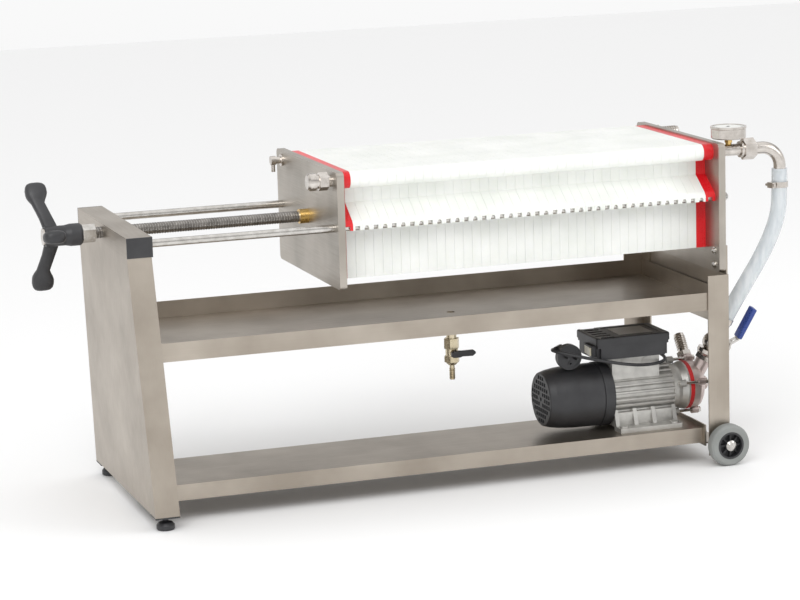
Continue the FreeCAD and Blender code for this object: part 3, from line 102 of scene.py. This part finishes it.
def noise(tree, stretch, detail=4.0):
    """Noise over the object's own coordinates, stretched by a scale for each axis."""
    place = tree.nodes.new("ShaderNodeTexCoord")
    scale = tree.nodes.new("ShaderNodeMapping")
    scale.inputs["Scale"].default_value = stretch
    pattern = tree.nodes.new("ShaderNodeTexNoise")
    pattern.inputs["Scale"].default_value = 1.0
    pattern.inputs["Detail"].default_value = detail
    tree.links.new(place.outputs["Object"], scale.inputs["Vector"])
    tree.links.new(scale.outputs["Vector"], pattern.inputs["Vector"])
    return pattern.outputs["Fac"]


def spread(tree, value, low, high):
    """The noise's middle range stretched from low to high."""
    node = tree.nodes.new("ShaderNodeMapRange")
    node.inputs["From Min"].default_value = 0.3
    node.inputs["From Max"].default_value = 0.7
    node.inputs["To Min"].default_value = low
    node.inputs["To Max"].default_value = high
    tree.links.new(value, node.inputs["Value"])
    return node.outputs["Result"]


def tint(tree, value, dark, light):
    """Two colours mixed by a noise."""
    ramp = tree.nodes.new("ShaderNodeValToRGB")
    ramp.color_ramp.elements[0].position = 0.3
    ramp.color_ramp.elements[0].color = (*dark, 1)
    ramp.color_ramp.elements[1].position = 0.7
    ramp.color_ramp.elements[1].color = (*light, 1)
    tree.links.new(value, ramp.inputs["Fac"])
    return ramp.outputs["Color"]


def bump(tree, shader, value, strength, distance):
    """Fine relief on a shader from a noise."""
    node = tree.nodes.new("ShaderNodeBump")
    node.inputs["Strength"].default_value = strength
    node.inputs["Distance"].default_value = distance
    tree.links.new(value, node.inputs["Height"])
    tree.links.new(node.outputs["Normal"], shader.inputs["Normal"])


# ---------------------------------------------------------------- materials
def brushed_steel(name, dark, light, grain, roughness=(0.30, 0.46)):
    """Sheet steel with fine brushing along one axis and soft cloudy patches."""
    material, tree, shader = new_material(name, light, 0.38, 1.0)
    across = [900.0, 900.0, 900.0]
    across["XYZ".index(grain)] = 9.0
    fine = noise(tree, across, 3)
    cloud = noise(tree, (9, 9, 9), 3)
    tree.links.new(tint(tree, cloud, dark, light), shader.inputs["Base Color"])
    tree.links.new(spread(tree, fine, *roughness), shader.inputs["Roughness"])
    bump(tree, shader, fine, 0.12, 0.0002)
    return material


def turned_metal(name, dark, light, rough, grain=(500, 60, 500)):
    """Plated or turned metal with faint rings and handling marks."""
    material, tree, shader = new_material(name, light, rough, 1.0)
    marks = noise(tree, grain, 4)
    tree.links.new(tint(tree, noise(tree, (70, 70, 70), 3), dark, light), shader.inputs["Base Color"])
    tree.links.new(spread(tree, marks, rough - 0.05, rough + 0.08), shader.inputs["Roughness"])
    bump(tree, shader, marks, 0.06, 0.0002)
    return material


def cast_metal(name, dark, light, rough, metallic):
    """Sand-cast or sprayed aluminium with a pebbly skin."""
    material, tree, shader = new_material(name, light, rough, metallic)
    grain = noise(tree, (900, 900, 900), 5)
    tree.links.new(tint(tree, noise(tree, (45, 45, 45), 5), dark, light), shader.inputs["Base Color"])
    tree.links.new(spread(tree, grain, rough - 0.08, rough + 0.1), shader.inputs["Roughness"])
    bump(tree, shader, grain, 0.35, 0.0004)
    return material


def moulded_plastic(name, dark, light, rough, grain=1400, strength=0.12, glow=0.0):
    """Moulded plastic with a fine skin and slow changes of tone."""
    material, tree, shader = new_material(name, light, rough)
    skin = noise(tree, (grain, grain, grain), 3)
    tree.links.new(tint(tree, noise(tree, (14, 14, 14), 3), dark, light), shader.inputs["Base Color"])
    tree.links.new(spread(tree, skin, rough - 0.05, rough + 0.07), shader.inputs["Roughness"])
    bump(tree, shader, skin, strength, 0.0002)
    if glow:
        shader.inputs["Subsurface Weight"].default_value = glow
        shader.inputs["Subsurface Radius"].default_value = (0.012, 0.012, 0.010)
    return material


def clear_plastic(name):
    """Soft clear tube: cloudy white in the light, seen through a little."""
    material, tree, shader = new_material(name, (0.80, 0.84, 0.86), 0.18)
    haze = noise(tree, (120, 120, 25), 3)
    colour = tint(tree, haze, (0.66, 0.71, 0.75), (0.86, 0.89, 0.90))
    tree.links.new(colour, shader.inputs["Base Color"])
    tree.links.new(spread(tree, haze, 0.12, 0.26), shader.inputs["Roughness"])
    shader.inputs["Transmission Weight"].default_value = 0.45
    shader.inputs["IOR"].default_value = 1.3
    shader.inputs["Coat Weight"].default_value = 0.5
    return material


# colours of the sheet steel's darker and lighter patches
STEEL_DARK = (0.36, 0.315, 0.265)
STEEL_LIGHT = (0.48, 0.43, 0.37)
MATERIALS = {
    "stainless": brushed_steel("sheet_upright", STEEL_DARK, STEEL_LIGHT, "Z"),
    "sheet_long": brushed_steel("sheet_long", STEEL_DARK, STEEL_LIGHT, "X"),
    "sheet_across": brushed_steel("sheet_across", STEEL_DARK, STEEL_LIGHT, "Y"),
    "plate_steel": brushed_steel("thick_plate", (0.36, 0.33, 0.29), (0.50, 0.46, 0.41), "Y"),
    "stainless_bar": turned_metal("bar", (0.50, 0.48, 0.45), (0.66, 0.64, 0.61), 0.20),
    "thread_steel": turned_metal("thread", (0.16, 0.15, 0.14), (0.30, 0.28, 0.26), 0.34),
    "chrome": turned_metal("plated", (0.50, 0.46, 0.42), (0.68, 0.64, 0.60), 0.19),
    "brass": turned_metal("brass", (0.56, 0.36, 0.10), (0.75, 0.52, 0.20), 0.26),
    "pale_brass": turned_metal("pale_brass", (0.50, 0.43, 0.29), (0.68, 0.60, 0.44), 0.28),
    "white_plastic": moulded_plastic("white_plate", (0.80, 0.82, 0.78), (0.90, 0.91, 0.88), 0.32,
                                     300, 0.08, 0.25),
    "filter_sheet": moulded_plastic("sheet_fibre", (0.84, 0.84, 0.80), (0.90, 0.90, 0.87), 0.9, 2500, 0.4),
    "red_plastic": moulded_plastic("red_frame", (0.62, 0.006, 0.012), (0.80, 0.012, 0.02), 0.30, 400, 0.06),
    "black_plastic": moulded_plastic("black_moulding", (0.018, 0.018, 0.02), (0.04, 0.04, 0.043), 0.42,
                                     1500, 0.35),
    "grey_tyre": moulded_plastic("grey_tyre", (0.20, 0.21, 0.20), (0.29, 0.30, 0.29), 0.62, 900, 0.3),
    "motor_casting": cast_metal("motor_aluminium", (0.42, 0.41, 0.39), (0.58, 0.57, 0.54), 0.42, 0.75),
    "pump_casting": cast_metal("pump_aluminium", (0.46, 0.38, 0.36), (0.64, 0.55, 0.52), 0.38, 0.8),
    "red_gasket": moulded_plastic("gasket", (0.45, 0.01, 0.015), (0.62, 0.02, 0.02), 0.5, 900, 0.2),
    "clear_hose": clear_plastic("clear_tube"),
    "valve_sleeve": turned_metal("lever_steel", (0.50, 0.48, 0.45), (0.66, 0.64, 0.61), 0.25),
    "blue_sleeve": moulded_plastic("blue_dip", (0.015, 0.04, 0.20), (0.03, 0.07, 0.32), 0.28, 500, 0.1),
    "cable": moulded_plastic("cable_skin", (0.016, 0.016, 0.018), (0.035, 0.035, 0.037), 0.5, 1800, 0.3),
    "ivory_plastic": moulded_plastic("ivory", (0.62, 0.58, 0.44), (0.76, 0.72, 0.58), 0.35, 900, 0.1),
    "plain_grey": moulded_plastic("grey_plate", (0.30, 0.29, 0.28), (0.42, 0.41, 0.39), 0.4, 600, 0.1),
    "dial_white": moulded_plastic("dial", (0.78, 0.78, 0.75), (0.86, 0.86, 0.83), 0.5, 400, 0.05),
}
# sheet steel is brushed upright, apart from these nodes
LONG_SHEETS = ("drip_tray", "bottom_shelf")
CROSS_SHEETS = ("crossbar", "tray_rail", "base_rail", "end_panel")
UNBEVELLED = ("white_plastic", "filter_sheet", "clear_hose", "cable")
EDGE_WIDTH = 0.0006
EDGE_ANGLE = math.radians(50)


def dress_frame():
    """Every CAD node gets the material of its slot and, where edges are sharp, a small bevel."""
    slots = {part["node"]: part["material_slot"] for part in frame["record"]["subparts"]}
    for name, obj in frame["nodes"].items():
        kind = slots[name]
        if name in LONG_SHEETS:
            kind = "sheet_long"
        elif name in CROSS_SHEETS:
            kind = "sheet_across"
        obj.data.materials.clear()
        obj.data.materials.append(MATERIALS[kind])
        if kind in UNBEVELLED:
            continue
        edge = obj.modifiers.new("edge", "BEVEL")
        edge.width = EDGE_WIDTH
        edge.segments = 2
        edge.limit_method = "ANGLE"
        edge.angle_limit = EDGE_ANGLE
        edge.harden_normals = True


dress_frame()


# ---------------------------------------------------------------- cords
def route_curve(name, points, radius, material):
    """One smooth round line along given points."""
    data = bpy.data.curves.new(name, "CURVE")
    data.dimensions = "3D"
    data.bevel_depth = radius
    data.bevel_resolution = 6
    data.resolution_u = 12
    data.use_fill_caps = True
    line = data.splines.new("NURBS")
    line.points.add(len(points) - 1)
    for point, place in zip(line.points, points):
        point.co = (*place, 1)
    line.order_u = 3
    line.use_endpoint_u = True
    data.materials.append(material)
    obj = bpy.data.objects.new(name, data)
    bpy.context.scene.collection.objects.link(obj)
    return obj


def make_cords():
    """The clear hose to the head plate and the mains lead, which take their CAD nodes' places."""
    hose_points = [
        (0.717, -0.159, 0.567), (0.717, -0.159, 0.522), (0.714, -0.1595, 0.478),
        (0.698, -0.1575, 0.433), (0.676, -0.1535, 0.389), (0.648, -0.147, 0.342),
        (0.61853, -0.13621, 0.28809), (0.60257, -0.1286, 0.25445),
    ]
    hose = route_curve("clear_tube_line", hose_points, HOSE_RADIUS, MATERIALS["clear_hose"])
    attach(hose, "frame")
    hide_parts("clear_hose")
    lead_points = [
        (0.35, -0.04, 0.232), (0.35, -0.02, 0.232), (0.36, -0.0027, 0.2305), (0.3773, 0.0073, 0.227),
        (0.3973, 0.008, 0.222), (0.42, 0.005, 0.217), (0.442, -0.003, 0.213), (0.462, -0.017, 0.2095),
        (0.478, -0.036, 0.207), (0.489, -0.058, 0.205), (0.493, -0.082, 0.203), (0.492, -0.105, 0.201),
        (0.483, -0.127, 0.2), (0.465, -0.143, 0.199), (0.441, -0.1505, 0.199), (0.415, -0.153, 0.2005),
        (0.388, -0.154, 0.205), (0.361, -0.155, 0.211), (0.335, -0.156, 0.2175),
        (0.31, -0.1565, 0.224), (0.285, -0.1568, 0.2315), (0.2611, -0.156, 0.2385),
        (0.2459, -0.1408, 0.241), (0.2459, -0.1192, 0.2405), (0.2611, -0.104, 0.238),
    ]
    lead = route_curve("mains_lead_line", lead_points, CORD_RADIUS, MATERIALS["cable"])
    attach(lead, "frame")
    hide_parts("power_cord")


make_cords()


# ---------------------------------------------------------------- small pieces
def mesh_piece(name, body, slot, build, material=None, angle=35):
    """A bmesh piece that rides on a body."""
    shape = bmesh.new()
    build(shape)
    data = bpy.data.meshes.new(name)
    bmesh.ops.recalc_face_normals(shape, faces=shape.faces)
    shape.to_mesh(data)
    shape.free()
    data.materials.append(MATERIALS[material or slot])
    obj = bpy.data.objects.new(name, data)
    bpy.context.scene.collection.objects.link(obj)
    data.shade_smooth()
    data.set_sharp_from_angle(angle=math.radians(angle))
    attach(obj, body)
    return obj


def turned(shape, profile, origin, axis, sides=40):
    """A ring of faces for a profile of (distance along the axis, radius)."""
    axis = Vector(axis).normalized()
    turn = axis.to_track_quat("Z", "Y").to_matrix()
    rings = []
    for along, radius in profile:
        ring = []
        for i in range(sides):
            angle = 2 * math.pi * i / sides
            spot = turn @ Vector((radius * math.cos(angle), radius * math.sin(angle), along))
            ring.append(shape.verts.new(Vector(origin) + spot))
        rings.append(ring)
    for low, high in zip(rings, rings[1:]):
        for i in range(sides):
            j = (i + 1) % sides
            shape.faces.new((low[i], low[j], high[j], high[i]))
    shape.faces.new(rings[0])
    shape.faces.new(rings[-1])


def screw_thread(shape, start, end, y, z, radius, pitch, height):
    """A trapezoid ridge wound along X."""
    steps = 20
    profile = ((-0.5, 0), (-0.2, 1), (0.2, 1), (0.5, 0))
    count = int((end - start) / pitch * steps)
    rows = []
    for i in range(count + 1):
        angle = 2 * math.pi * i / steps
        x = start + pitch * i / steps
        rows.append([shape.verts.new((x + pitch * a, y + (radius + height * b) * math.cos(angle),
                                      z + (radius + height * b) * math.sin(angle)))
                     for a, b in profile])
    for low, high in zip(rows, rows[1:]):
        for k in range(len(profile) - 1):
            shape.faces.new((low[k], low[k + 1], high[k + 1], high[k]))


THREAD_PITCH = 0.005
THREAD_HEIGHT = 0.0011


def make_thread():
    """The closing screw's thread, from the handle's nut to the brass bush."""
    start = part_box("crossbar")[0][0] - 0.012
    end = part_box("press_bush")[0][0] - 0.003
    mesh_piece("screw_thread", "screw", "stainless_bar",
               lambda shape: screw_thread(shape, start, end, 0, SCREW_HEIGHT, SCREW_RADIUS - 0.0002,
                                          THREAD_PITCH, THREAD_HEIGHT), "thread_steel")


# each row in millimetres: height along an arm, the section's two ends along X and its half width
ARM_SECTIONS = ((12, -17, 10, 9), (26, -19.5, 7, 8), (40, -22, 3, 7.5), (58, -27, -2, 7.4),
                (72, -31, -6, 7.8), (80, -35.5, -3, 9.6), (86, -38.2, 0, 11.6), (92, -39, 2, 12.5),
                (101, -39, 2, 12.5), (107, -37.6, 0.6, 11.8), (111, -35, -2.5, 10), (113.4, -31, -7, 7),
                (114.2, -26, -12, 4))
ARM_ANGLES = (-38, 82, 202)
ARM_SQUARENESS = 0.7
ARM_ROOT = 0.019


def make_handle_arms():
    """Three cranked arms with rounded grips, moulded with the handle's hub."""
    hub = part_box("handle")[0][0] + ARM_ROOT
    sides = 28

    def build(shape):
        for lean in ARM_ANGLES:
            turn = Matrix.Rotation(math.radians(lean), 3, "X")
            rings = []
            for height, first, last, half in ARM_SECTIONS:
                ring = []
                for i in range(sides):
                    angle = 2 * math.pi * i / sides
                    c, s = math.cos(angle), math.sin(angle)
                    x = (first + last) / 2 + (last - first) / 2 * math.copysign(abs(c) ** ARM_SQUARENESS, c)
                    y = half * math.copysign(abs(s) ** ARM_SQUARENESS, s)
                    spot = turn @ Vector((x, y, height)) / 1000
                    ring.append(shape.verts.new(spot + Vector((hub, 0, SCREW_HEIGHT))))
                rings.append(ring)
            for low, high in zip(rings, rings[1:]):
                for i in range(sides):
                    j = (i + 1) % sides
                    shape.faces.new((low[i], low[j], high[j], high[i]))
            shape.faces.new(rings[0])
            shape.faces.new(rings[-1])

    mesh_piece("handle_arms", "screw", "black_plastic", build, angle=60)


def rounded_head(radius, high):
    """Profile of a domed bolt head."""
    return [(0, radius), (high * 0.5, radius), (high * 0.85, radius * 0.75), (high, radius * 0.3)]


WASHER = (0.0078, 0.0012)
BOLT_HEAD = (0.0052, 0.0042)


def make_bolts():
    """Round-headed bolts on both faces of the head plate, near its lower corners."""
    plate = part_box("head_plate")
    spots = []
    for side in (-1, 1):
        for z in (plate[0][2] + 0.014, plate[0][2] + 0.041):
            spots.append(((plate[0][0], side * (plate[1][1] - 0.022), z), (-1, 0, 0)))
            spots.append(((plate[1][0], side * (plate[1][1] - 0.022), z), (1, 0, 0)))
    wide, thick = WASHER

    def build(shape):
        for origin, axis in spots:
            turned(shape, [(0, wide), (thick, wide)], origin, axis)
            turned(shape, rounded_head(*BOLT_HEAD), Vector(origin) + Vector(axis) * thick, axis)

    mesh_piece("plate_bolts", "frame", "stainless_bar", build)


NEEDLE_ANGLE = math.radians(225)
TICKS = 31
TICK_STEP = 9


def make_gauge():
    """Dial, ticks, needle and its centre cap on the pressure gauge, which faces up."""
    low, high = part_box("pressure_gauge")
    centre = Vector(((low[0] + high[0]) / 2, (low[1] + high[1]) / 2, high[2]))
    radius = (high[0] - low[0]) / 2
    mesh_piece("gauge_dial", "frame", "chrome", lambda shape: turned(
        shape, [(-0.0016, radius - 0.0045), (-0.0012, radius - 0.0045)], centre, (0, 0, 1), 64),
               "dial_white")

    def ticks(shape):
        for i in range(TICKS):
            angle = math.radians(225 - TICK_STEP * i)
            long = 0.005 if i % 5 == 0 else 0.0028
            aim = Vector((math.cos(angle), math.sin(angle), 0))
            side = Vector((-aim.y, aim.x, 0)) * (0.0005 if i % 5 == 0 else 0.0003)
            far = centre + aim * (radius - 0.0062) + Vector((0, 0, -0.0010))
            near = far - aim * long
            corners = (near - side, far - side, far + side, near + side)
            shape.faces.new([shape.verts.new(p) for p in corners])
        needle = Vector((math.cos(NEEDLE_ANGLE), math.sin(NEEDLE_ANGLE), 0))
        side = Vector((-needle.y, needle.x, 0)) * 0.0009
        tip = centre + needle * (radius - 0.012) + Vector((0, 0, -0.0007))
        tail = centre - needle * 0.006 + Vector((0, 0, -0.0007))
        shape.faces.new([shape.verts.new(p) for p in (tail - side, tip, tail + side)])
        turned(shape, [(-0.0010, 0.0026), (-0.0004, 0.0022)], centre, (0, 0, 1), 20)

    mesh_piece("gauge_marks", "frame", "black_plastic", ticks)


def make_box_details():
    """Lid screws and the bare grey plate on the junction box."""
    low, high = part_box("junction_box_lid")
    top = high[2]

    def screws(shape):
        for x in (low[0] + 0.008, high[0] - 0.008):
            for y in (low[1] + 0.008, high[1] - 0.008):
                turned(shape, [(-0.002, 0.0042), (-0.0006, 0.0042), (-0.0001, 0.0036)],
                       (x, y, top), (0, 0, 1), 24)

    mesh_piece("lid_screws", "frame", "stainless_bar", screws)

    def plate(shape):
        x0, x1 = low[0] + 0.056, high[0] - 0.028
        y0, y1 = low[1] + 0.022, high[1] - 0.022
        bmesh.ops.create_cube(shape, size=1)
        for vert in shape.verts:
            vert.co = Vector((x0 if vert.co.x < 0 else x1, y0 if vert.co.y < 0 else y1,
                              top - (0.0012 if vert.co.z < 0 else 0.0003)))
        bmesh.ops.bevel(shape, geom=list(shape.edges), offset=0.0003, segments=2, affect="EDGES")

    mesh_piece("bare_plate", "frame", "black_plastic", plate, "plain_grey")


# the sleeve's length, width and thickness, and where its middle lies along and out from the pivot
SLEEVE_SIZE = (0.0672, 0.0206, 0.0104)
SLEEVE_ALONG = 0.0595
SLEEVE_OUT = 0.0125
SLEEVE_ROUNDING = 0.0026


def make_lever_sleeve():
    """Thick blue sleeve over the valve lever's strap."""
    pivot = Vector(LEVER_PIVOT)
    along = Vector(PORT_AIM).normalized()
    out = Vector(LEVER_AXIS).normalized()
    across = out.cross(along)

    def build(shape):
        bmesh.ops.create_cube(shape, size=1)
        for vert in shape.verts:
            vert.co = Vector([a * b for a, b in zip(vert.co, SLEEVE_SIZE)])
        bmesh.ops.bevel(shape, geom=list(shape.edges), offset=SLEEVE_ROUNDING, segments=4,
                        profile=0.5, affect="EDGES")
        for vert in shape.verts:
            spot = vert.co.copy()
            vert.co = (pivot + along * (SLEEVE_ALONG + spot.x) + across * spot.y
                       + out * (SLEEVE_OUT + spot.z))

    mesh_piece("blue_lever_sleeve", "valve_lever", "valve_sleeve", build, "blue_sleeve", 60)


make_thread()
make_handle_arms()
make_bolts()
make_gauge()
make_box_details()
make_lever_sleeve()


# ---------------------------------------------------------------- stage
# brightness of the studio at each share of the way from straight down to straight up
SKY = ((0.0, 0.55), (0.46, 1.0), (0.60, 1.0), (0.72, 0.40), (0.86, 1.15), (1.0, 1.25))
SKY_STRENGTH = 0.95
FLOOR_REACH = 9
LIGHTS = (("key", (-2.0, -3.2, 3.4), 2.4, 75), ("fill", (3.2, -2.2, 2.0), 2.0, 25))
LIGHT_AIM = Vector((0, 0, 0.3))


def light_sky(tree):
    """Even studio light with one darker band overhead, so that polished metal has contrast."""
    place = tree.nodes.new("ShaderNodeTexCoord")
    split = tree.nodes.new("ShaderNodeSeparateXYZ")
    upward = tree.nodes.new("ShaderNodeMapRange")
    upward.inputs["From Min"].default_value = -1
    bands = tree.nodes.new("ShaderNodeValToRGB")
    ramp = bands.color_ramp
    while len(ramp.elements) < len(SKY):
        ramp.elements.new(0.5)
    for element, (height, level) in zip(ramp.elements, SKY):
        element.position = height
        element.color = (level, level, level, 1)
    tree.links.new(place.outputs["Generated"], split.inputs["Vector"])
    tree.links.new(split.outputs["Z"], upward.inputs["Value"])
    tree.links.new(upward.outputs["Result"], bands.inputs["Fac"])
    tree.links.new(bands.outputs["Color"], tree.nodes["Background"].inputs["Color"])
    tree.nodes["Background"].inputs["Strength"].default_value = SKY_STRENGTH


def make_stage():
    """Pale floor and a soft studio light."""
    mesh = bpy.data.meshes.new("floor")
    reach = FLOOR_REACH
    corners = [(-reach, -reach, 0), (reach, -reach, 0), (reach, reach, 0), (-reach, reach, 0)]
    mesh.from_pydata(corners, [], [(0, 1, 2, 3)])
    floor = bpy.data.objects.new("floor", mesh)
    bpy.context.scene.collection.objects.link(floor)
    material = bpy.data.materials.new("stage")
    material.use_nodes = True
    shader = material.node_tree.nodes["Principled BSDF"]
    shader.inputs["Base Color"].default_value = (0.95, 0.95, 0.95, 1)
    shader.inputs["Roughness"].default_value = 0.9
    floor.data.materials.append(material)
    world = bpy.data.worlds.new("studio")
    bpy.context.scene.world = world
    world.use_nodes = True
    light_sky(world.node_tree)
    for name, place, size, power in LIGHTS:
        data = bpy.data.lights.new(name, "AREA")
        data.size = size
        data.energy = power
        light = bpy.data.objects.new(name, data)
        light.location = place
        light.rotation_euler = (LIGHT_AIM - Vector(place)).to_track_quat("-Z", "Y").to_euler()
        bpy.context.scene.collection.objects.link(light)


make_stage()
bpy.context.scene.view_settings.view_transform = "Standard"
